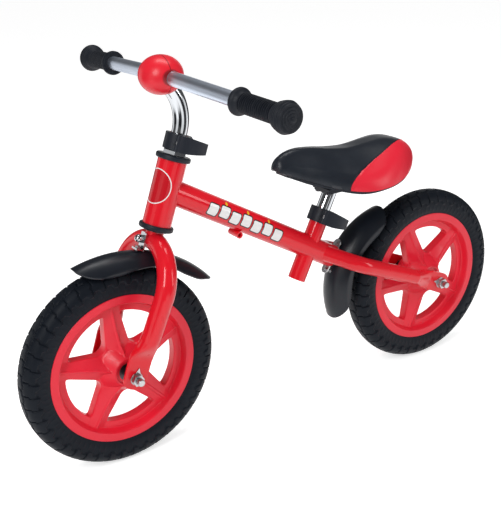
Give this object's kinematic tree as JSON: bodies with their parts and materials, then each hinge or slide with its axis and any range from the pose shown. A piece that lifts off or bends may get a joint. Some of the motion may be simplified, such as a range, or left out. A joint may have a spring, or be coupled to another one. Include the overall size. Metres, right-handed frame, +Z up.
{
  "type": "balance bike",
  "caption": "Child's balance bike: straight-tube steel frame and fork, spoked plastic wheels with solid tyres, mudguards, padded saddle, grips and quick-release stem and seat post",
  "frame": {"origin": "on the ground, midway between the two tyres' contact points, in the bike's middle plane", "axes": "+X forward, +Y to the rider's left, +Z up"},
  "size_m": [0.848, 0.531, 0.563],
  "materials": {
    "frame_paint": "glossy red enamel",
    "rim_plastic": "moulded red nylon",
    "tyre": "solid EVA foam tyre, block tread",
    "chrome": "polished chrome plate",
    "zinc_steel": "zinc plated steel",
    "black_plastic": "moulded black nylon",
    "guard_plastic": "satin black polypropylene",
    "grip_rubber": "soft black rubber",
    "ball_plastic": "smooth red plastic",
    "saddle_cover": "black and red padded vinyl"
  },
  "bodies": {
    "frame": {"head_tube": "frame_paint", "main_tube": "frame_paint", "seat_tube": "frame_paint", "left_stay": "frame_paint", "right_stay": "frame_paint", "cross_boss": "frame_paint", "upper_headset_cup": "black_plastic", "lower_headset_cup": "black_plastic", "upper_headset_bearing": "zinc_steel", "lower_headset_bearing": "zinc_steel", "seat_clamp_collar": "black_plastic", "seat_clamp_bolt": "zinc_steel", "seat_clamp_nut": "zinc_steel", "rear_mudguard": "guard_plastic", "rear_guard_strap": "zinc_steel", "rear_guard_bolts": "zinc_steel", "rear_guard_nuts": "zinc_steel", "rear_axle": "zinc_steel", "rear_axle_spacers": "zinc_steel", "rear_keeper_washers": "zinc_steel", "rear_axle_nuts": "zinc_steel"},
    "fork": {"fork_blades": "frame_paint", "steerer_tube": "frame_paint", "crown_race": "zinc_steel", "headset_locknut": "chrome", "stem_clamp_collar": "black_plastic", "stem_clamp_bolt": "zinc_steel", "stem_clamp_nut": "zinc_steel", "front_mudguard": "guard_plastic", "front_guard_bracket": "chrome", "front_guard_bolts": "zinc_steel", "front_guard_nuts": "zinc_steel", "front_axle": "zinc_steel", "front_axle_spacers": "zinc_steel", "front_keeper_washers": "zinc_steel", "front_axle_nuts": "zinc_steel"},
    "handlebar": {"stem": "chrome", "handlebar_tube": "chrome", "ball_cover_front": "ball_plastic", "ball_cover_rear": "ball_plastic", "left_grip": "grip_rubber", "right_grip": "grip_rubber"},
    "seat": {"seat_post": "chrome", "saddle_base": "black_plastic", "saddle_pad": "saddle_cover", "saddle_plate": "zinc_steel", "saddle_screws": "zinc_steel"},
    "front_wheel": {"front_rim": "rim_plastic", "front_tyre": "tyre", "front_wheel_bearings": "zinc_steel"},
    "rear_wheel": {"rear_rim": "rim_plastic", "rear_tyre": "tyre", "rear_wheel_bearings": "zinc_steel"},
    "stem_lever": {"stem_clamp_lever": "black_plastic"},
    "seat_lever": {"seat_clamp_lever": "black_plastic"}
  },
  "joints": [
    {"name": "steering", "type": "hinge", "parent": "frame", "child": "fork", "pos_m": [0.27476, 0, 0.1435], "axis": [-0.3322, 0, 0.9432], "range_deg": [-90, 90]},
    {"name": "stem_height", "type": "slide", "parent": "fork", "child": "handlebar", "axis": [-0.3322, 0, 0.9432], "range_m": [0, 0.06]},
    {"name": "seat_height", "type": "slide", "parent": "frame", "child": "seat", "axis": [-0.4462, 0, 0.8949], "range_m": [-0.01, 0.06]},
    {"name": "front_wheel_spin", "type": "hinge", "parent": "fork", "child": "front_wheel", "pos_m": [0.279, 0, 0.145], "axis": [0, 1, 0], "continuous": true},
    {"name": "rear_wheel_spin", "type": "hinge", "parent": "frame", "child": "rear_wheel", "pos_m": [-0.279, 0, 0.145], "axis": [0, 1, 0], "continuous": true},
    {"name": "stem_lever_swing", "type": "hinge", "parent": "fork", "child": "stem_lever", "pos_m": [0.17948, 0.022, 0.44869], "axis": [0.3322, 0, -0.9432], "range_deg": [0, 150]},
    {"name": "seat_lever_swing", "type": "hinge", "parent": "frame", "child": "seat_lever", "pos_m": [-0.06219, 0.0228, 0.2958], "axis": [0.4462, 0, -0.8949], "range_deg": [0, 150]}
  ]
}
